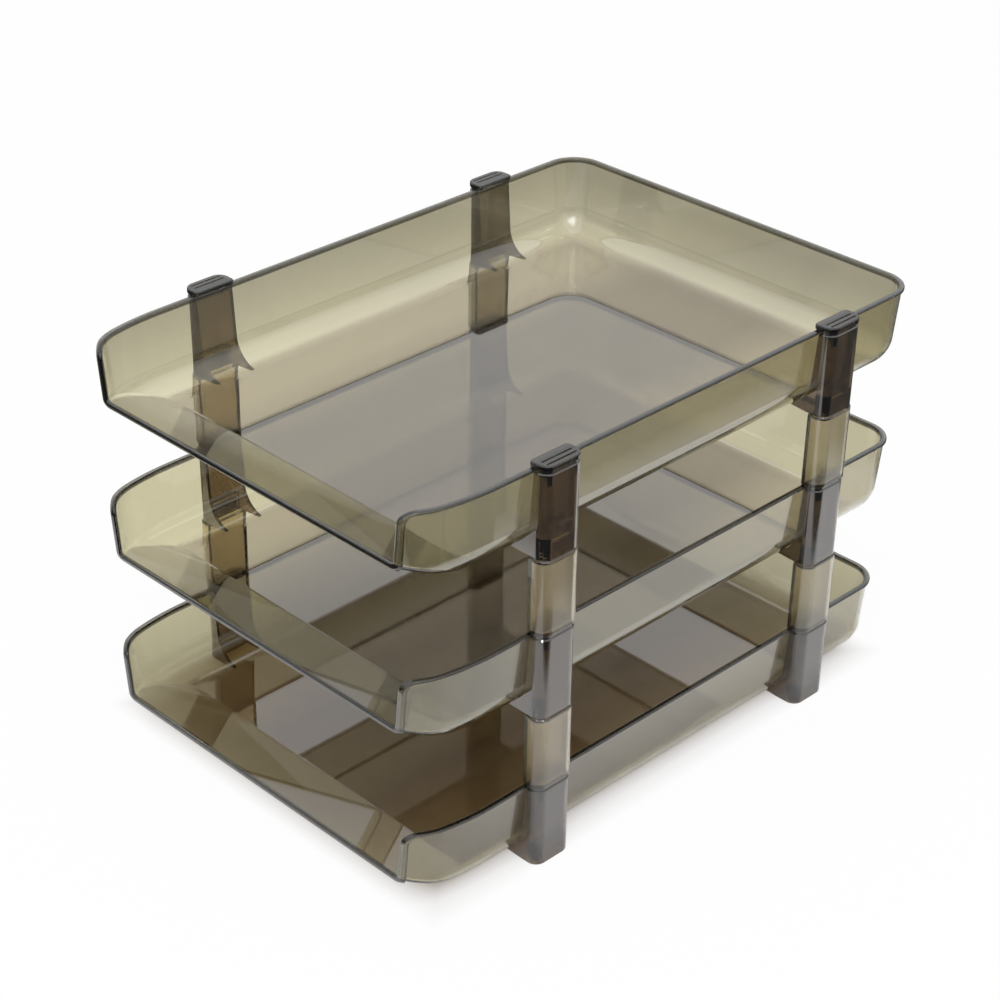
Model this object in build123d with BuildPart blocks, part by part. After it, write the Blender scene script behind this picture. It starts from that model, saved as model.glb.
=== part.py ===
from build123d import *

import os
from math import atan2, cos, sin, tan

# Three open letter trays, one above another, carried on four clip-together posts.
#
# Millimetres, +Z up. The origin is the bottom centre: the feet stand on Z = 0, the open
# front of the trays faces -Y and the posts stand along the long sides at -X and +X.

# ---------------------------------------------------------------- driving dimensions
# Tray
TRAY_WIDTH = 246.6  # over the rim bead
TRAY_DEPTH = 351.5  # front edge to the back of the rim bead
TRAY_HEIGHT = 45.5  # rim top to the underside of the floor
WALL = 2.0
WALL_DRAFT = 4.0  # degrees the walls lean in towards the floor
COVE_RADIUS = 17.0  # outside radius between wall and floor
CORNER_RADIUS = 19.0  # back corners in plan, over the bead
BEAD_OUT = 1.2  # how far the bead stands out of the wall
BEAD_HEIGHT = 2.0
BEAD_ROUND = 0.95
BEAD_UNDER_BREAK = 0.6  # where the bead steps down to the wall
FRONT_CORNER_RADIUS = 7.0  # top front corner of each side wall

# Front of the tray: the floor climbs to the front edge and the walls curve in
FRONT_EDGE_DROP = 30.6  # rim top to the underside of the front edge, without the bead
CREASE_RADIUS = 4.0  # outside rounding where the ramp meets the coves and the floor
RAMP_LENGTH = 42.0
NARROWING_START = 47.0  # distance behind the front edge where the walls begin to curve in
NARROWING_BREAK = 18.0  # distance behind the front edge where the curve tightens
NARROWING_AT_BREAK = 3.0
NARROWING_AT_FRONT = 13.2

# Stack
TIER_PITCH = 88.6  # rim to rim
FRONT_POST_SETBACK = 82.3  # front edge to the middle of the front posts
REAR_POST_SETBACK = 283.3  # front edge to the middle of the rear posts

# Support, the dark bracket that holds the tray on each post
SUPPORT_HEIGHT = 47.3  # rim top to the underside of the support
POST_OUT = 7.0  # rim edge to the outer face of the post
POST_LENGTH = 24.8
POST_CORNER_RADIUS = 6.0
SUPPORT_WALL = 1.8
SEAT_GAP = 0.1  # between the support's side plates and the tray wall
WING_REACH = 17.2  # how far the side plates reach in under the tray
WING_TIP_RISE = 1.3
NECK_HEIGHT = 1.8  # narrower collar on top of the support
NECK_SET_IN = 0.7
HOOK_THICKNESS = 1.2  # lip that lies in the rim's notch
HOOK_GAP = 0.15
EDGE_BREAK = 0.5
FOOT_ROUND = 0.8

# Socket and spigot, seen in plan
SOCKET_LENGTH = 18.4
SOCKET_WIDTH = 4.4
SOCKET_OFFSET = 3.1  # rim edge to the middle of the socket
SPIGOT_GAP = 0.3
SPIGOT_WALL = 1.1
UPPER_SPIGOT = 8.5  # how far a riser reaches up into the support above
LOWER_SPIGOT = 7.0  # how far a riser reaches down into the support below
SOCKET_END_GAP = 1.0  # room in a socket past what plugs into it

# Riser, the lighter sleeve between two supports
RISER_GROWTH = 0.55  # how far it stands out of the support all round
RISER_INNER_FACE = -2.3  # inner side of the sleeve, from the rim edge
RISER_WALL = 1.6
RISER_PLATE = 2.0

# Cap
CAP_THICKNESS = 2.5
CAP_OVERHANG = 0.2
CAP_INNER_FACE = -4.9
CAP_INNER_CORNER = 2.5
CAP_EDGE_ROUND = 0.8
CAP_GROOVE_LENGTH = 19.5
CAP_GROOVE_WIDTH = 1.1
CAP_GROOVE_DEPTH = 0.7
CAP_GROOVE_SPACING = 3.2
CAP_GROOVE_OFFSET = 2.3  # rim edge to the middle of the pair of grooves
CAP_LEG_THICKNESS = 1.6
CAP_LEG_REACH = 6.0

# ---------------------------------------------------------------- worked-out places
FRONT_Y = -TRAY_DEPTH / 2
BACK_Y = TRAY_DEPTH / 2
RIM_EDGE_X = TRAY_WIDTH / 2
RAMP_ANGLE = atan2(TRAY_HEIGHT - FRONT_EDGE_DROP, RAMP_LENGTH)
RISER_HEIGHT = TIER_PITCH - SUPPORT_HEIGHT
TIERS = ("bottom", "middle", "top")
RIM_Z = {tier: SUPPORT_HEIGHT + i * TIER_PITCH for i, tier in enumerate(TIERS)}
ROWS = {"front": FRONT_Y + FRONT_POST_SETBACK, "rear": FRONT_Y + REAR_POST_SETBACK}
SIDES = {"left": -1, "right": 1}
NECK_LENGTH = POST_LENGTH - 2 * NECK_SET_IN
HOOK_REACH = BEAD_OUT + WALL  # rim edge to the end of the hooking lip
NOTCH_REACH = 2 * HOOK_REACH  # runs past the wall's inner side
UPPER_SOCKET_DEPTH = max(LOWER_SPIGOT, CAP_LEG_REACH) + SOCKET_END_GAP
LOWER_SOCKET_DEPTH = UPPER_SPIGOT + SOCKET_END_GAP
SOCKET_INNER_FACE = SOCKET_OFFSET - SOCKET_WIDTH / 2 - SPIGOT_WALL
FAR = 40.0  # how far cutting shapes run past what they cut
TOUCH = 0.001  # how near two places are to be the same


def post_outline(inner_x, outer_x, length, corner, inner_corner=0.0):
    """Plan of a post: flat towards the tray, rounded corners on the outer side."""
    with BuildSketch() as plan:
        with Locations((outer_x, 0)):
            Rectangle(outer_x - inner_x, length, align=(Align.MAX, Align.CENTER))
        fillet(plan.vertices().group_by(Axis.X)[-1], radius=corner)
        if inner_corner:
            fillet(plan.vertices().group_by(Axis.X)[0], radius=inner_corner)
    return plan.sketch


def socket_outline(growth=0.0):
    """Plan of the socket that joins support, riser and cap, grown by growth all round."""
    with BuildSketch() as plan:
        with Locations((SOCKET_OFFSET, 0)):
            Rectangle(SOCKET_WIDTH + 2 * growth, SOCKET_LENGTH + 2 * growth)
    return plan.sketch


def outer_rim_edges(part, height):
    """The edges of a post's end face at that height, but not the one along the tray side."""
    return part.edges().filter_by_position(Axis.Z, height - TOUCH, height + TOUCH).sort_by(Axis.X)[1:]


def post_places(rim_z):
    """Name and location of each of a tier's four posts, from front left to rear right."""
    return [
        (f"{row}_{side}", Location((sign * RIM_EDGE_X, row_y, rim_z), (0, 0, 90 - 90 * sign)))
        for row, row_y in ROWS.items()
        for side, sign in SIDES.items()
    ]


def faces_down_and_forward(face):
    """True for the underside of the ramp, which is flat and leans towards the front."""
    normal = face.normal_at()
    leans = Vector(0, -sin(RAMP_ANGLE), -cos(RAMP_ANGLE))
    return face.geom_type == GeomType.PLANE and (normal - leans).length < TOUCH


def tub(skin):
    """Tray-shaped solid whose surface stands skin outside the tray's outer surface.

    Zero gives the outer shape, minus the wall the hollow, and the bead's standout the bead.
    It runs on past the front edge, where the tray is trimmed later.
    """
    half = RIM_EDGE_X - BEAD_OUT
    back = BACK_Y - BEAD_OUT
    corner = CORNER_RADIUS - BEAD_OUT
    with BuildPart() as body:
        with BuildSketch():
            with BuildLine():
                side = Line((half, back - corner), (half, FRONT_Y + NARROWING_START))
                bend = TangentArc(
                    side @ 1,
                    (half - NARROWING_AT_BREAK, FRONT_Y + NARROWING_BREAK),
                    tangent=side % 1,
                )
                nose = TangentArc(bend @ 1, (half - NARROWING_AT_FRONT, FRONT_Y), tangent=bend % 1)
                run_out = Line(nose @ 1, nose @ 1 + FAR * (nose % 1))
                RadiusArc(side @ 0, (half - corner, back), -corner)
                Line((half - corner, back), (0, back))
                Line(run_out @ 1, (0, (run_out @ 1).Y))
                mirror(about=Plane.YZ)
            make_face()
            offset(amount=skin, kind=Kind.INTERSECTION)
        extrude(amount=TRAY_HEIGHT + skin, dir=(0, 0, -1), taper=WALL_DRAFT)
        floor_edges = body.edges().group_by(Axis.Z)[0].sort_by(Axis.Y)[1:]
        fillet(floor_edges, radius=COVE_RADIUS + skin)
        drop = skin / cos(RAMP_ANGLE)
        rise = tan(RAMP_ANGLE)
        with BuildSketch(Plane.YZ):
            with BuildLine():
                Polyline(
                    (FRONT_Y - FAR, -FRONT_EDGE_DROP - drop + FAR * rise),
                    (FRONT_Y + RAMP_LENGTH + FAR, -TRAY_HEIGHT - drop - FAR * rise),
                    (FRONT_Y - FAR, -TRAY_HEIGHT - drop - FAR * rise),
                    close=True,
                )
            make_face()
        extrude(amount=TRAY_WIDTH, both=True, mode=Mode.SUBTRACT)
        ramp = body.faces().filter_by(faces_down_and_forward)[0]
        crease = ramp.edges().sort_by(Axis.Y)[1:]
        fillet(crease, radius=CREASE_RADIUS + skin)
    return body.part


def free_edge_border(part, inset=0.0):
    """Edges along both sides of the tray's free edge: rim, wall ends and front edge.

    The free edge's own faces lie level with the rim, upright on the front plane, or on the
    two rounded corners between them. Their outline is each edge that only one of them has.
    An inset chooses the like faces that lie that far below the rim and behind the front.
    """

    def on_free_edge(face):
        middle = face.center()
        on_rim = abs(middle.Z + inset) < TOUCH
        on_front = abs(middle.Y - FRONT_Y - inset) < TOUCH
        on_corner = (
            face.geom_type == GeomType.CYLINDER
            and abs(face.radius - FRONT_CORNER_RADIUS + inset) < TOUCH
            and middle.Z > -FRONT_CORNER_RADIUS
        )
        return on_rim or on_front or on_corner

    outline = {}
    for face in part.faces().filter_by(on_free_edge):
        for edge in face.edges():
            spot = tuple(round(place, 3) for place in edge.center())
            outline.setdefault(spot, []).append(edge)
    return [edges[0] for edges in outline.values() if len(edges) == 1]


# ---------------------------------------------------------------- tray
outer_shape = tub(0.0)
hollow = tub(-WALL)
bead_shape = tub(BEAD_OUT)

with BuildPart() as tray_moulding:
    # the bead follows the free edge: along the rim, down each wall end, across the front
    add(bead_shape)
    with BuildSketch(Plane.YZ):
        with Locations((0, -TRAY_HEIGHT / 2)):
            Rectangle(2 * TRAY_DEPTH, 2 * TRAY_HEIGHT)
        with BuildLine():
            inner_corner = (FRONT_Y + BEAD_HEIGHT, -BEAD_HEIGHT)
            FilletPolyline(
                (BACK_Y + FAR, -BEAD_HEIGHT),
                inner_corner,
                (FRONT_Y + BEAD_HEIGHT, -TRAY_HEIGHT - FAR),
                radius=FRONT_CORNER_RADIUS - BEAD_HEIGHT,
            )
            Polyline(
                (FRONT_Y + BEAD_HEIGHT, -TRAY_HEIGHT - FAR),
                (BACK_Y + FAR, -TRAY_HEIGHT - FAR),
                (BACK_Y + FAR, -BEAD_HEIGHT),
            )
        make_face(mode=Mode.SUBTRACT)
    extrude(amount=TRAY_WIDTH, both=True, mode=Mode.INTERSECT)
    chamfer(free_edge_border(tray_moulding, BEAD_HEIGHT), length=BEAD_UNDER_BREAK)
    add(outer_shape)
    add(hollow, mode=Mode.SUBTRACT)
    # trim to the side view: open front, rounded top front corners
    with BuildSketch(Plane.YZ):
        with BuildLine():
            FilletPolyline(
                (FRONT_Y, -TRAY_HEIGHT - FAR),
                (FRONT_Y, 0),
                (BACK_Y + FAR, 0),
                radius=FRONT_CORNER_RADIUS,
            )
            Polyline(
                (BACK_Y + FAR, 0),
                (BACK_Y + FAR, -TRAY_HEIGHT - FAR),
                (FRONT_Y, -TRAY_HEIGHT - FAR),
            )
        make_face()
    extrude(amount=TRAY_WIDTH, both=True, mode=Mode.INTERSECT)

    # round the bead's edges, inside and out
    fillet(free_edge_border(tray_moulding), radius=BEAD_ROUND)
    # notches in the rim where the supports hook on
    with BuildSketch(Plane.XY.offset(-HOOK_THICKNESS)):
        for row_y in ROWS.values():
            with Locations((RIM_EDGE_X, row_y), (-RIM_EDGE_X, row_y)):
                Rectangle(2 * NOTCH_REACH, NECK_LENGTH + 2 * HOOK_GAP)
    extrude(amount=2 * HOOK_THICKNESS, mode=Mode.SUBTRACT)

# ---------------------------------------------------------------- support
# In its own frame: X outwards from the rim edge, Y = 0 at the middle of the post,
# Z = 0 at the rim top. The same moulding, turned half round, serves the other side.
seat = tub(SEAT_GAP)

with BuildPart() as support_moulding:
    with BuildSketch(Plane.XY.offset(-SUPPORT_HEIGHT)):
        add(post_outline(-WING_REACH, POST_OUT, POST_LENGTH, POST_CORNER_RADIUS))
    extrude(amount=SUPPORT_HEIGHT - NECK_HEIGHT)
    fillet(outer_rim_edges(support_moulding, -SUPPORT_HEIGHT), radius=FOOT_ROUND)
    chamfer(outer_rim_edges(support_moulding, -NECK_HEIGHT), length=EDGE_BREAK)
    # the side plates follow the tray's wall and cove
    with Locations((-RIM_EDGE_X, 0, 0)):
        add(seat, mode=Mode.SUBTRACT)
    # room for the bead
    with BuildSketch(Plane.XZ):
        with Locations((HOOK_GAP, 0)):
            Rectangle(
                WING_REACH + FAR,
                BEAD_HEIGHT + HOOK_GAP,
                align=(Align.MAX, Align.MAX),
            )
    extrude(amount=POST_LENGTH, both=True, mode=Mode.SUBTRACT)
    # the undersides of the wings climb to their tips
    with BuildSketch(Plane.XZ):
        with BuildLine():
            Polyline(
                (SOCKET_INNER_FACE, -SUPPORT_HEIGHT),
                (-WING_REACH, -SUPPORT_HEIGHT + WING_TIP_RISE),
                (-WING_REACH - FAR, -SUPPORT_HEIGHT + WING_TIP_RISE),
                (-WING_REACH - FAR, -SUPPORT_HEIGHT - FAR),
                (SOCKET_INNER_FACE, -SUPPORT_HEIGHT - FAR),
                close=True,
            )
        make_face()
    extrude(amount=POST_LENGTH, both=True, mode=Mode.SUBTRACT)
    # channel between the side plates, open towards the tray
    with BuildSketch(Plane.XY.offset(-SUPPORT_HEIGHT + LOWER_SOCKET_DEPTH + SUPPORT_WALL)):
        add(
            post_outline(
                -WING_REACH - FAR,
                POST_OUT - SUPPORT_WALL,
                POST_LENGTH - 2 * SUPPORT_WALL,
                POST_CORNER_RADIUS - SUPPORT_WALL,
            )
        )
    extrude(
        amount=SUPPORT_HEIGHT - LOWER_SOCKET_DEPTH - NECK_HEIGHT - 2 * SUPPORT_WALL,
        mode=Mode.SUBTRACT,
    )
    with BuildSketch(Plane.XY.offset(-SUPPORT_HEIGHT - EDGE_BREAK)):
        with Locations((SOCKET_INNER_FACE, 0)):
            Rectangle(
                WING_REACH + FAR,
                POST_LENGTH - 2 * SUPPORT_WALL,
                align=(Align.MAX, Align.CENTER),
            )
    extrude(amount=LOWER_SOCKET_DEPTH + 2 * SUPPORT_WALL, mode=Mode.SUBTRACT)
    # collar on top, with the lip that hooks into the rim's notch
    with BuildSketch(Plane.XY.offset(-NECK_HEIGHT)):
        add(
            post_outline(
                HOOK_GAP, POST_OUT - NECK_SET_IN, NECK_LENGTH, POST_CORNER_RADIUS - NECK_SET_IN
            )
        )
    extrude(amount=NECK_HEIGHT)
    with BuildSketch(Plane.XY.offset(-HOOK_THICKNESS)):
        with Locations((HOOK_GAP, 0)):
            Rectangle(
                HOOK_GAP + HOOK_REACH,
                NECK_LENGTH,
                align=(Align.MAX, Align.CENTER),
            )
    extrude(amount=HOOK_THICKNESS)
    # sockets: one through the collar, one in the bottom
    with BuildSketch(Plane.XY.offset(-UPPER_SOCKET_DEPTH)):
        add(socket_outline())
    extrude(amount=UPPER_SOCKET_DEPTH, mode=Mode.SUBTRACT)
    with BuildSketch(Plane.XY.offset(-SUPPORT_HEIGHT)):
        add(socket_outline())
    extrude(amount=LOWER_SOCKET_DEPTH, mode=Mode.SUBTRACT)

# ---------------------------------------------------------------- riser
# Z = 0 where it stands on the support below.
with BuildPart() as riser_moulding:
    with BuildSketch() as sleeve_plan:
        add(
            post_outline(
                RISER_INNER_FACE - RISER_GROWTH,
                POST_OUT + RISER_GROWTH,
                POST_LENGTH + 2 * RISER_GROWTH,
                POST_CORNER_RADIUS + RISER_GROWTH,
            )
        )
    extrude(amount=RISER_HEIGHT)
    chamfer(outer_rim_edges(riser_moulding, 0), length=EDGE_BREAK)
    chamfer(outer_rim_edges(riser_moulding, RISER_HEIGHT), length=EDGE_BREAK)
    with BuildSketch(Plane.XY.offset(RISER_PLATE)):
        add(sleeve_plan.sketch)
        offset(amount=-RISER_WALL)
    extrude(amount=RISER_HEIGHT - 2 * RISER_PLATE, mode=Mode.SUBTRACT)
    with BuildSketch(Plane.XY.offset(-LOWER_SPIGOT)):
        add(socket_outline(-SPIGOT_GAP))
    extrude(amount=LOWER_SPIGOT)
    with BuildSketch(Plane.XY.offset(RISER_HEIGHT)):
        add(socket_outline(-SPIGOT_GAP))
    extrude(amount=UPPER_SPIGOT)
    with BuildSketch(Plane.XY.offset(-LOWER_SPIGOT)):
        add(socket_outline(-SPIGOT_GAP - SPIGOT_WALL))
    extrude(amount=LOWER_SPIGOT + RISER_HEIGHT + UPPER_SPIGOT, mode=Mode.SUBTRACT)

# ---------------------------------------------------------------- cap
with BuildPart() as cap_moulding:
    with BuildSketch() as cap_plan:
        add(
            post_outline(
                CAP_INNER_FACE,
                POST_OUT + CAP_OVERHANG,
                POST_LENGTH + 2 * CAP_OVERHANG,
                POST_CORNER_RADIUS + CAP_OVERHANG,
                CAP_INNER_CORNER,
            )
        )
    extrude(amount=CAP_THICKNESS)
    fillet(cap_moulding.edges().group_by(Axis.Z)[-1], radius=CAP_EDGE_ROUND)
    # two grooves along the top
    with BuildSketch(Plane.XY.offset(CAP_THICKNESS - CAP_GROOVE_DEPTH)):
        with Locations((CAP_GROOVE_OFFSET, 0)):
            with GridLocations(CAP_GROOVE_SPACING, 0, 2, 1):
                SlotOverall(CAP_GROOVE_LENGTH, CAP_GROOVE_WIDTH, rotation=90)
    extrude(amount=CAP_GROOVE_DEPTH, mode=Mode.SUBTRACT)
    # a leg at each end of the socket
    with BuildSketch(Plane.XY.offset(-CAP_LEG_REACH)):
        with Locations((SOCKET_OFFSET, 0)):
            with GridLocations(0, SOCKET_LENGTH - 2 * SPIGOT_GAP - CAP_LEG_THICKNESS, 1, 2):
                Rectangle(SOCKET_WIDTH - 2 * SPIGOT_GAP, CAP_LEG_THICKNESS)
    extrude(amount=CAP_LEG_REACH)

# ---------------------------------------------------------------- the stack
os.makedirs("parts", exist_ok=True)

for tier, rim_z in RIM_Z.items():
    with BuildPart() as tray:
        with Locations((0, 0, rim_z)):
            add(tray_moulding.part)
    tray.part.label = f"{tier}_tray"
    export_step(tray.part, f"parts/{tier}_tray.step")

for tier, rim_z in RIM_Z.items():
    for place, seat_location in post_places(rim_z):
        with BuildPart() as support:
            with Locations(seat_location):
                add(support_moulding.part)
        support.part.label = f"{tier}_{place}_support"
        export_step(support.part, f"parts/{tier}_{place}_support.step")

for level, tier in (("lower", "bottom"), ("upper", "middle")):
    for place, seat_location in post_places(RIM_Z[tier]):
        with BuildPart() as riser:
            with Locations(seat_location):
                add(riser_moulding.part)
        riser.part.label = f"{level}_{place}_riser"
        export_step(riser.part, f"parts/{level}_{place}_riser.step")

for place, seat_location in post_places(RIM_Z["top"]):
    with BuildPart() as cap:
        with Locations(seat_location):
            add(cap_moulding.part)
    cap.part.label = f"{place}_cap"
    export_step(cap.part, f"parts/{place}_cap.step")
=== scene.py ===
"""Three smoke-tinted letter trays on clip-together posts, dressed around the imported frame.

Every shape of the object is a node of the frame. This script gives each its plastic, and adds the floor,
the surround, the lamps and the camera.
"""

import logging
from dataclasses import dataclass, field
from enum import Enum
from math import radians
from typing import Iterable, Optional, Union

import bmesh
import bpy
from mathutils import Matrix, Vector


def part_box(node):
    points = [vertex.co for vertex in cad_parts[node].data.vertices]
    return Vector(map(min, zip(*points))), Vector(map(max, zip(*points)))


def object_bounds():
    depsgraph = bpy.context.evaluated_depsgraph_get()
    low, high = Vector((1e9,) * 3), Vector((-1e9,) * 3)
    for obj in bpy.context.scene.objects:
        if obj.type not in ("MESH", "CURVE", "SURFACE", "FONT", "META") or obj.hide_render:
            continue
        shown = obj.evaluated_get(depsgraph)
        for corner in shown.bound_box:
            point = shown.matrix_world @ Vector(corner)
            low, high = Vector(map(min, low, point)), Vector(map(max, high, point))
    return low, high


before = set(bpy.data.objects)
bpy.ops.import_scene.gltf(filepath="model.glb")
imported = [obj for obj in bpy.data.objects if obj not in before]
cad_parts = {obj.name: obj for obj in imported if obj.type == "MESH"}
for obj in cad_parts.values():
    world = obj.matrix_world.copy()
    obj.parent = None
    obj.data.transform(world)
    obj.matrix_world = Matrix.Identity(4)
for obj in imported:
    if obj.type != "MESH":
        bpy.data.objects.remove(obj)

CAD_BOX = [list(corner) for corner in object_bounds()]
LOG = logging.getLogger("letter_trays")

Number = Union[int, float]
Colour = tuple[float, float, float]
Point = tuple[float, float, float]
Pair = tuple[float, float]


# ------------------------------------------------------------------ shader maths
class Wire:
    """A node's output socket that takes part in arithmetic.

    Args:
        tree: the node tree that the socket is in.
        socket: the output socket itself.
    """

    def __init__(self, tree: bpy.types.NodeTree, socket: bpy.types.NodeSocket) -> None:
        """Keeps the tree and the socket."""
        self.tree = tree
        self.socket = socket

    def _math(self, operation: str, *values: Union["Wire", Number]) -> "Wire":
        """Adds a Math node.

        Args:
            operation: the Math node's operation.
            values: its inputs, wires or numbers.

        Returns:
            The node's result.
        """
        node = self.tree.nodes.new("ShaderNodeMath")
        node.operation = operation
        for slot, value in zip(node.inputs, values):
            if isinstance(value, Wire):
                self.tree.links.new(value.socket, slot)
            else:
                slot.default_value = value
        return Wire(self.tree, node.outputs[0])

    def __add__(self, other: Union["Wire", Number]) -> "Wire":
        """Sum."""
        return self._math("ADD", self, other)

    __radd__ = __add__

    def __sub__(self, other: Union["Wire", Number]) -> "Wire":
        """Difference."""
        return self._math("SUBTRACT", self, other)

    def __rsub__(self, other: Number) -> "Wire":
        """Difference, with the wire on the right."""
        return self._math("SUBTRACT", other, self)

    def __mul__(self, other: Union["Wire", Number]) -> "Wire":
        """Product."""
        return self._math("MULTIPLY", self, other)

    __rmul__ = __mul__

    def __pow__(self, other: Number) -> "Wire":
        """Power."""
        return self._math("POWER", self, other)

    def __abs__(self) -> "Wire":
        """Size without its sign."""
        return self._math("ABSOLUTE", self)

    def at_least(self, other: Union["Wire", Number]) -> "Wire":
        """The greater of the two."""
        return self._math("MAXIMUM", self, other)

    def ramp(self, low: float, high: float) -> "Wire":
        """Runs from 0 at low to 1 at high, clamped.

        Args:
            low: value that gives 0.
            high: value that gives 1.

        Returns:
            The clamped share.
        """
        node = self.tree.nodes.new("ShaderNodeMapRange")
        node.clamp = True
        self.tree.links.new(self.socket, node.inputs["Value"])
        node.inputs["From Min"].default_value = low
        node.inputs["From Max"].default_value = high
        return Wire(self.tree, node.outputs["Result"])


class Shader:
    """Builds one node tree.

    Args:
        tree: the tree to build in, emptied first.
    """

    def __init__(self, tree: bpy.types.NodeTree) -> None:
        """Empties the tree."""
        self.tree = tree
        tree.nodes.clear()

    def node(self, kind: str, settings: Optional[dict] = None, out: Union[str, int] = 0,
             **inputs: object) -> Optional[Wire]:
        """Adds a node.

        Args:
            kind: the node's type, without the ShaderNode in front.
            settings: its own settings, set before its sockets.
            out: the output wanted.
            inputs: values or wires for its sockets, with _ for a space in the name.

        Returns:
            The wanted output, or None for a node that has none.
        """
        node = self.tree.nodes.new("ShaderNode" + kind)
        for name, value in (settings or {}).items():
            setattr(node, name, value)
        for name, value in inputs.items():
            slot = node.inputs[name.replace("_", " ")]
            if isinstance(value, Wire):
                self.tree.links.new(value.socket, slot)
            else:
                slot.default_value = value
        return Wire(self.tree, node.outputs[out]) if len(node.outputs) else None

    def blend(self, share: Union[Wire, float], first: Wire, second: Wire) -> Wire:
        """Mixes two shaders.

        Args:
            share: how much of the second shows.
            first: shader at 0.
            second: shader at 1.

        Returns:
            The mixed shader.
        """
        node = self.tree.nodes.new("ShaderNodeMixShader")
        if isinstance(share, Wire):
            self.tree.links.new(share.socket, node.inputs[0])
        else:
            node.inputs[0].default_value = share
        self.tree.links.new(first.socket, node.inputs[1])
        self.tree.links.new(second.socket, node.inputs[2])
        return Wire(self.tree, node.outputs[0])

    def tint(self, share: Wire, low: Union[Wire, Colour], high: Union[Wire, Colour]) -> Wire:
        """A colour between two.

        Args:
            share: 0 gives low and 1 gives high.
            low: wire or linear colour.
            high: wire or linear colour.

        Returns:
            The mixed colour.
        """
        node = self.tree.nodes.new("ShaderNodeMix")
        node.data_type = "RGBA"
        self.tree.links.new(share.socket, node.inputs["Factor"])
        for slot, colour in ((node.inputs[6], low), (node.inputs[7], high)):
            if isinstance(colour, Wire):
                self.tree.links.new(colour.socket, slot)
            else:
                slot.default_value = (*colour, 1.0)
        return Wire(self.tree, node.outputs[2])

    def place(self, scale: Point = (1.0, 1.0, 1.0)) -> Wire:
        """Object coordinates in metres, stretched by scale."""
        spot = self.node("TexCoord", out="Object")
        return self.node("Mapping", Vector=spot, Scale=scale)

    def along(self, axis: str, vector: Wire) -> Wire:
        """A vector's X, Y or Z."""
        return self.node("SeparateXYZ", out=axis, Vector=vector)

    def ray(self, kind: str) -> Wire:
        """1 on rays of a kind, such as Camera or Glossy, and 0 on others."""
        return self.node("LightPath", out=f"Is {kind} Ray")


# ------------------------------------------------------------------ finishes
@dataclass(frozen=True)
class SmokePlastic:
    """Clear tinted moulded plastic.

    Args:
        name: material name.
        tint: linear colour that one wall lets through at the front.
        back_shade_tint: the same towards the back, darker as painted shade.
        haze: roughness of its clean skin.
        haze_spread: how much more the dull patches have.
        ripple: height of the moulding's waviness, in metres.
        bend: index of refraction.
        gloss: weight of the polished outer skin.
        gloss_haze: roughness of that skin.
        gloss_bend: index of refraction of that skin.
        shade: linear colour that each skin leaves of the light that falls through it.
        back_shade_run: from where to where along Y the painted shade darkens the tint towards the back.
        back_shade_share: how much of the change in tint comes from that painted shade, and not from the flow
            marks.
        flow_scale: fineness of the flow marks.
        flow_stretch: how they are drawn out along Y.
        flow_band: pattern values between which a flow mark fades in.
        patch_scale: fineness of the dull patches.
        patch_band: pattern values between which a patch fades in.
    """

    name: str
    tint: Colour
    back_shade_tint: Colour
    haze: float = 0.02
    haze_spread: float = 0.03
    ripple: float = 0.00002
    bend: float = 1.59
    gloss: float = 1.0
    gloss_haze: float = 0.01
    gloss_bend: float = 1.5
    shade: Colour = (0.60, 0.53, 0.42)
    back_shade_run: Pair = (-0.17, 0.05)
    back_shade_share: float = 0.8
    flow_scale: float = 22.0
    flow_stretch: Point = (1.0, 0.35, 1.0)
    flow_band: Pair = (0.35, 0.65)
    patch_scale: float = 35.0
    patch_band: Pair = (0.45, 0.75)

    def colour(self, shader: Shader, flow: Wire) -> Wire:
        """Works out the tint, darkened towards the back as painted shade, with faint flow marks.

        Args:
            shader: tree to build in.
            flow: the moulding's flow pattern.

        Returns:
            The tint over the surface.
        """
        # painted shade: the tint darkens from the front to the back along Y
        back = shader.along("Y", shader.place()).ramp(*self.back_shade_run) * self.back_shade_share
        marks = flow.ramp(*self.flow_band) * (1 - self.back_shade_share)
        return shader.tint(back + marks, self.tint, self.back_shade_tint)

    def material(self) -> bpy.types.Material:
        """Builds the material.

        Returns:
            The finished material.
        """
        made = bpy.data.materials.new(self.name)
        made.use_nodes = True
        shader = Shader(made.node_tree)
        flow = shader.node("TexNoise", Vector=shader.place(self.flow_stretch), Scale=self.flow_scale,
                           Detail=2.0, Roughness=0.45)
        patches = shader.node("TexNoise", Vector=shader.place(), Scale=self.patch_scale, Detail=3.0,
                              Roughness=0.55)
        roughness = patches.ramp(*self.patch_band) * self.haze_spread + self.haze
        bump = shader.node("Bump", Strength=1.0, Distance=self.ripple, Height=flow)
        skin = shader.node("BsdfPrincipled", Base_Color=self.colour(shader, flow), Roughness=roughness,
                           IOR=self.bend, Transmission_Weight=1.0, Coat_Weight=self.gloss,
                           Coat_Roughness=self.gloss_haze, Coat_IOR=self.gloss_bend, Normal=bump)
        clear = shader.node("BsdfTransparent", Color=(*self.shade, 1.0))
        lighting = shader.ray("Shadow").at_least(shader.ray("Diffuse"))
        shader.node("OutputMaterial", Surface=shader.blend(lighting, skin, clear))
        return made


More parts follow.
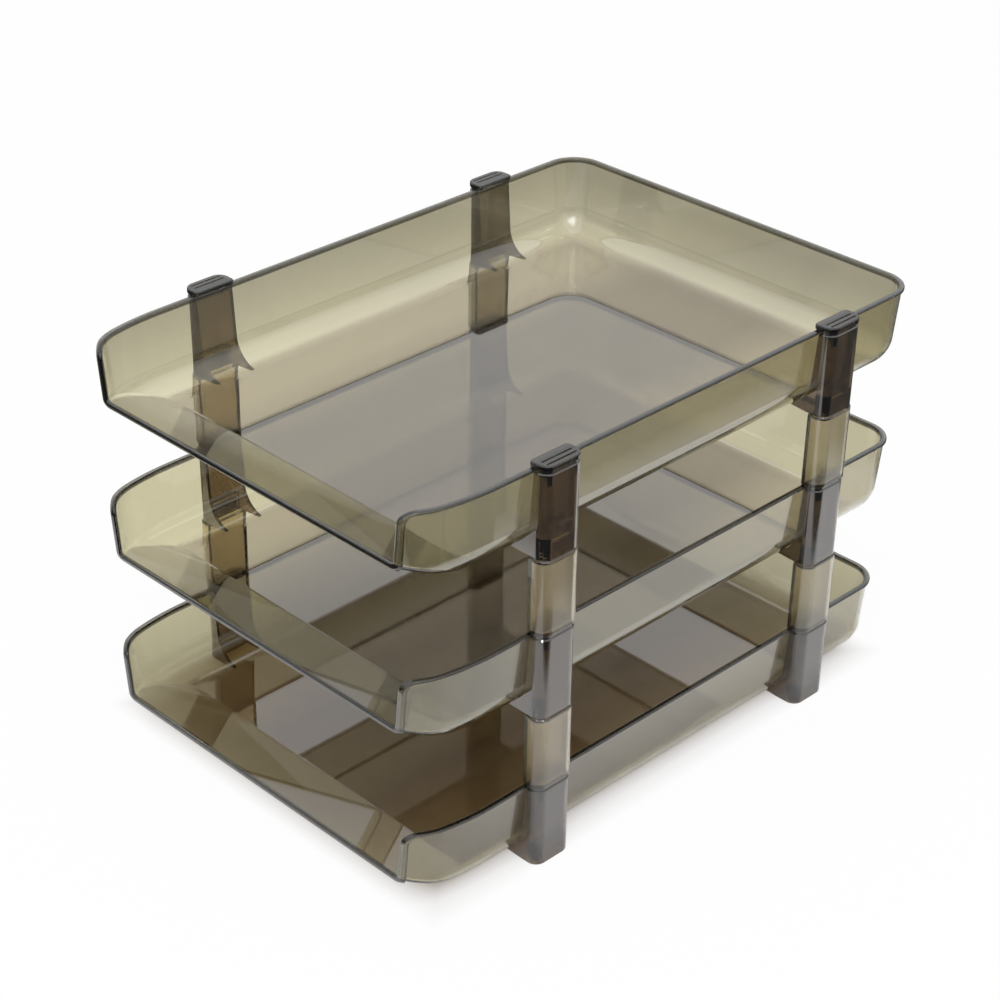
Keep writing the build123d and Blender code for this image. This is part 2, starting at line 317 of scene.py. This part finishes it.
@dataclass(frozen=True)
class TrayPlastic(SmokePlastic):
    """The plastic of one tray, with painted shade darkening its floor, its ramp and the bead on its free
    edge, and painted light beside its side walls.

    Args:
        tray: the tray's node.
        floor_shade_tint: linear colour that the floor and the ramp let through along their middle, darkened
            as painted shade.
        side_light_tint: the same beside the side walls, lighter as painted light.
        side_light_run: how far out from the middle that painted light starts to come in, and where it is
            full, in metres.
        level: how upright a normal is where the floor's painted shade starts and where it is full.
        bead_shade_tint: linear colour that the bead lets through, darkened as painted shade.
        step_shade_tint: a painted dark line where the bead steps down to the wall.
        bead: the bead's height, in metres.
        step: half the height of that painted dark line.
        nose: radius of the free edge where it turns down at the wall ends.
    """

    tray: str = ""
    floor_shade_tint: Colour = (0.28, 0.245, 0.195)
    side_light_tint: Colour = (0.44, 0.39, 0.28)
    side_light_run: Pair = (0.04, 0.08)
    level: Pair = (0.86, 1.0)
    bead_shade_tint: Colour = (0.36, 0.335, 0.22)
    step_shade_tint: Colour = (0.05, 0.045, 0.03)
    bead: float = 0.002
    step: float = 0.0003
    nose: float = 0.007

    def colour(self, shader: Shader, flow: Wire) -> Wire:
        """Works out the tint, with the painted shade of the floor and the bead, and the painted light beside
        the walls, laid over the moulding's.

        Args:
            shader: tree to build in.
            flow: the moulding's flow pattern.

        Returns:
            The tint over the surface.
        """
        low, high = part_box(self.tray)
        spot = shader.place()
        ahead = (low[1] + self.nose - shader.along("Y", spot)).at_least(0.0)
        above = (shader.along("Z", spot) - (high[2] - self.nose)).at_least(0.0)
        inside = self.nose - self.bead - (ahead ** 2 + above ** 2) ** 0.5
        # painted shade and light: level faces darker along the middle, lighter beside the side walls
        upright = abs(shader.along("Z", shader.node("NewGeometry", out="Normal")))
        beside = abs(shader.along("X", spot)).ramp(*self.side_light_run)
        floor = shader.tint(beside, self.floor_shade_tint, self.side_light_tint)
        body = shader.tint(upright.ramp(*self.level), super().colour(shader, flow), floor)
        # painted shade: the bead darker than the wall, with a painted dark line where it steps down
        edged = shader.tint(inside.ramp(0.0, self.step), self.bead_shade_tint, body)
        return shader.tint(abs(inside).ramp(self.step, self.step * 2), self.step_shade_tint, edged)


# ------------------------------------------------------------------ the object
class Tier(Enum):
    """The three levels, from the desk up."""

    BOTTOM = "bottom"
    MIDDLE = "middle"
    TOP = "top"


class Place(Enum):
    """The four posts."""

    FRONT_LEFT = "front_left"
    FRONT_RIGHT = "front_right"
    REAR_LEFT = "rear_left"
    REAR_RIGHT = "rear_right"


def dress(node: str, finish: bpy.types.Material) -> None:
    """Gives a CAD node its finish.

    Args:
        node: the node's name.
        finish: material for all its slots.
    """
    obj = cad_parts[node]
    if not obj.material_slots:
        obj.data.materials.append(finish)
    for slot in obj.material_slots:
        slot.material = finish
    LOG.info("%s dressed in %s", node, finish.name)


@dataclass
class Trays:
    """The three tray mouldings.

    Args:
        tint: linear colour that a wall lets through at the front.
        back_shade_tint: the same at the back, darker as painted shade.
        tiers: the levels that have a tray.
    """

    tint: Colour = (0.72, 0.675, 0.445)
    back_shade_tint: Colour = (0.58, 0.54, 0.375)
    tiers: Iterable[Tier] = tuple(Tier)

    def build(self) -> None:
        """Dresses each tray."""
        for tier in self.tiers:
            node = f"{tier.value}_tray"
            plastic = TrayPlastic(f"smoke_{node}", self.tint, self.back_shade_tint, tray=node)
            dress(node, plastic.material())


@dataclass
class Posts:
    """Supports, risers and caps of the four posts.

    Args:
        support_finish: near-black plastic of the brackets that hold the trays.
        riser_finish: light, satin plastic of the sleeves between them.
        cap_finish: dark plastic of the caps.
        places: where the posts stand.
        levels: the sleeves of one post, from the desk up.
    """

    support_finish: SmokePlastic = SmokePlastic(
        "smoke_support", (0.22, 0.145, 0.085), (0.13, 0.10, 0.07), gloss_bend=1.75)
    riser_finish: SmokePlastic = SmokePlastic(
        "smoke_riser", (0.95, 0.85, 0.64), (0.70, 0.66, 0.53), haze=0.18)
    cap_finish: SmokePlastic = SmokePlastic(
        "smoke_cap", (0.12, 0.11, 0.09), (0.11, 0.10, 0.085), haze=0.08, gloss=0.5)
    places: Iterable[Place] = tuple(Place)
    levels: Iterable[str] = ("lower", "upper")

    def build(self) -> None:
        """Dresses each post from the desk up."""
        support = self.support_finish.material()
        riser = self.riser_finish.material()
        cap = self.cap_finish.material()
        for place in self.places:
            for tier in Tier:
                dress(f"{tier.value}_{place.value}_support", support)
            for level in self.levels:
                dress(f"{level}_{place.value}_riser", riser)
            dress(f"{place.value}_cap", cap)


# ------------------------------------------------------------------ the studio
class Outline(Enum):
    """What a lamp's face looks like."""

    SQUARE = "SQUARE"
    ROUND = "DISK"


@dataclass
class Lamp:
    """One lamp.

    Args:
        name: its name.
        spot: where it hangs, in metres.
        size: its side or width, in metres.
        power: watts.
        shape: its outline.
        aim: what it points at, in metres.
    """

    name: str
    spot: Point
    size: float
    power: float
    shape: Outline = Outline.SQUARE
    aim: Point = (0.0, 0.0, 0.1)

    def hang(self) -> None:
        """Adds the lamp."""
        data = bpy.data.lights.new(self.name, "AREA")
        data.shape = self.shape.value
        data.size = self.size
        data.energy = self.power
        obj = bpy.data.objects.new(self.name, data)
        bpy.context.collection.objects.link(obj)
        away = Vector(self.aim) - Vector(self.spot)
        obj.matrix_world = Matrix.Translation(self.spot) @ away.to_track_quat("-Z", "Y").to_matrix().to_4x4()


@dataclass
class Lamps:
    """A soft lamp in front, and a square of small ceiling lamps that sparkle in rounded corners and edges.

    Args:
        front: the soft lamp.
        row: how many ceiling lamps stand in a row, and how many rows there are.
        step: from one to the next, in metres.
        middle: the middle of their square.
        size: the width of each.
        power: watts of each.
    """

    front: Lamp = field(default_factory=lambda: Lamp("front_lamp", (1.5, -1.6, 1.9), 1.0, 4.0))
    row: int = 4
    step: float = 0.5
    middle: Point = (1.1, -1.1, 1.7)
    size: float = 0.04
    power: float = 1.4

    def build(self) -> None:
        """Hangs them all."""
        self.front.hang()
        x, y, z = self.middle
        reach = (self.row - 1) / 2
        for row in range(self.row):
            for column in range(self.row):
                spot = (x + (column - reach) * self.step, y + (row - reach) * self.step, z)
                Lamp(f"ceiling_lamp_{row}_{column}", spot, self.size, self.power, Outline.ROUND).hang()


@dataclass
class Floor:
    """The pale floor, white where seen straight, and shaded where the object stands.

    Args:
        half: half its side, in metres.
        white: how much light it gives back.
        glow: how far its own white covers the shadows beside the object, where seen straight.
        fade: over how far that comes in at the object's edge, in metres.
        edge: how far inside that edge it starts, in fades.
        near_glow: its brightness through plastic, close to the object.
        full: from where to where it is full white there, in metres from the object.
        end: where it is dimmest again, in metres from the object.
        fall: how much dimmer it is there.
        gloss_end: from where to where its image in gloss falls off, in metres from the object.
        far_gloss: what is left of that image further out.
    """

    half: float = 6.0
    white: float = 0.9
    glow: float = 0.96
    fade: float = 0.02
    edge: float = 1.5
    near_glow: float = 0.62
    full: Pair = (0.1, 0.24)
    end: float = 0.38
    fall: float = 0.45
    gloss_end: Pair = (0.14, 0.18)
    far_gloss: float = 0.08

    def build(self) -> None:
        """Adds it."""
        mesh = bpy.data.meshes.new("floor")
        form = bmesh.new()
        bmesh.ops.create_grid(form, x_segments=1, y_segments=1, size=self.half)
        form.to_mesh(mesh)
        form.free()
        mesh.materials.append(self._material())
        floor = bpy.data.objects.new("floor", mesh)
        bpy.context.collection.objects.link(floor)

    def _material(self) -> bpy.types.Material:
        """Builds its material.

        Returns:
            Matt white with a glow on the rays that show the background.
        """
        made = bpy.data.materials.new("pale_floor")
        made.use_nodes = True
        shader = Shader(made.node_tree)
        matt = shader.node("BsdfDiffuse", Color=(self.white, self.white, self.white, 1.0))
        away = self._away(shader)
        straight, through, mirrored = shader.ray("Camera"), shader.ray("Transmission"), self._mirrored(shader)
        start, fading = self.full
        lit = (away.ramp(0.0, start) * (1 - self.near_glow) + self.near_glow
               - away.ramp(fading, self.end) * self.fall)
        imaged = 1 - away.ramp(*self.gloss_end) * (1 - self.far_gloss)
        glow = shader.node("Emission", Color=(1.0, 1.0, 1.0, 1.0),
                           Strength=straight + mirrored * imaged + through * lit)
        beside = away.ramp(0.0, self.fade)
        share = straight * away.ramp(-self.fade * self.edge, 0.0) * self.glow + (mirrored + through) * beside
        shader.node("OutputMaterial", Surface=shader.blend(share, matt, glow))
        return made

    @staticmethod
    def _mirrored(shader: Shader) -> Wire:
        """1 where the eye looks by reflection, and not through plastic."""
        return shader.ray("Glossy") * (1 - shader.ray("Transmission"))

    @staticmethod
    def _away(shader: Shader) -> Wire:
        """How far a spot of the floor lies from the object's box, in metres.

        Args:
            shader: tree to build in.

        Returns:
            Less than 0 under the object and more beside it.
        """
        spot = shader.place()
        high = CAD_BOX[1]
        past_side = abs(shader.along("X", spot)) - high[0]
        past_end = abs(shader.along("Y", spot)) - high[1]
        return past_side.at_least(past_end)


@dataclass
class Surround:
    """A plain white surround, dimmer near the horizon where plastic shows it.

    Args:
        ambient: the light that it gives matt surfaces.
        horizon: its brightness at the horizon, seen in or through plastic.
        run: from what height to what height that rises to white.
    """

    ambient: float = 0.68
    horizon: float = 0.4
    run: Pair = (0.1, 0.5)

    def build(self) -> None:
        """Sets it as the scene's world."""
        world = bpy.data.worlds.new("surround")
        world.use_nodes = True
        shader = Shader(world.node_tree)
        straight = shader.ray("Camera")
        seen = straight.at_least(shader.ray("Glossy")).at_least(shader.ray("Transmission"))
        height = shader.along("Z", shader.node("TexCoord", out="Generated"))
        room = height.ramp(*self.run) * (1 - self.horizon) + self.horizon
        strength = straight.at_least(seen * room).at_least((1 - seen) * self.ambient)
        glow = shader.node("Background", Color=(1.0, 1.0, 1.0, 1.0), Strength=strength)
        shader.node("OutputWorld", Surface=glow)
        bpy.context.scene.world = world


@dataclass
class PhotoView:
    """The camera, where the photograph was taken from.

    Args:
        eye: where it is, in metres.
        turn: degrees to the left of looking along +Y.
        down: degrees that it looks down.
        roll: degrees that it is turned about its line of sight.
        focal: focal length in widths of the picture.
        shift: how the frame is moved, in widths of the picture.
        sensor: width of its sensor, in millimetres.
    """

    eye: Point = (0.7474, -0.7547, 0.7344)
    turn: float = 46.34
    down: float = 33.16
    roll: float = 0.13
    focal: float = 2.3191
    shift: Pair = (0.0510, 0.1151)
    sensor: float = 36.0

    def build(self) -> None:
        """Sets it up as the scene's camera."""
        data = bpy.data.cameras.new("photo_view")
        data.sensor_width = self.sensor
        data.lens = self.sensor * self.focal
        data.shift_x, data.shift_y = self.shift
        camera = bpy.data.objects.new("photo_view", data)
        bpy.context.collection.objects.link(camera)
        camera.matrix_world = (
            Matrix.Translation(self.eye)
            @ Matrix.Rotation(radians(self.turn), 4, "Z")
            @ Matrix.Rotation(radians(90.0 - self.down), 4, "X")
            @ Matrix.Rotation(radians(self.roll), 4, "Z")
        )
        bpy.context.scene.camera = camera


def main() -> None:
    """Dresses the trays and posts, then sets floor, surround, lamps and camera round them."""
    logging.basicConfig(level=logging.INFO, format="%(message)s")
    bpy.context.scene.view_settings.view_transform = "Standard"
    for part in (Trays(), Posts(), Floor(), Surround(), Lamps(), PhotoView()):
        part.build()
        LOG.info("%s done", type(part).__name__)


if __name__ == "__main__":
    main()
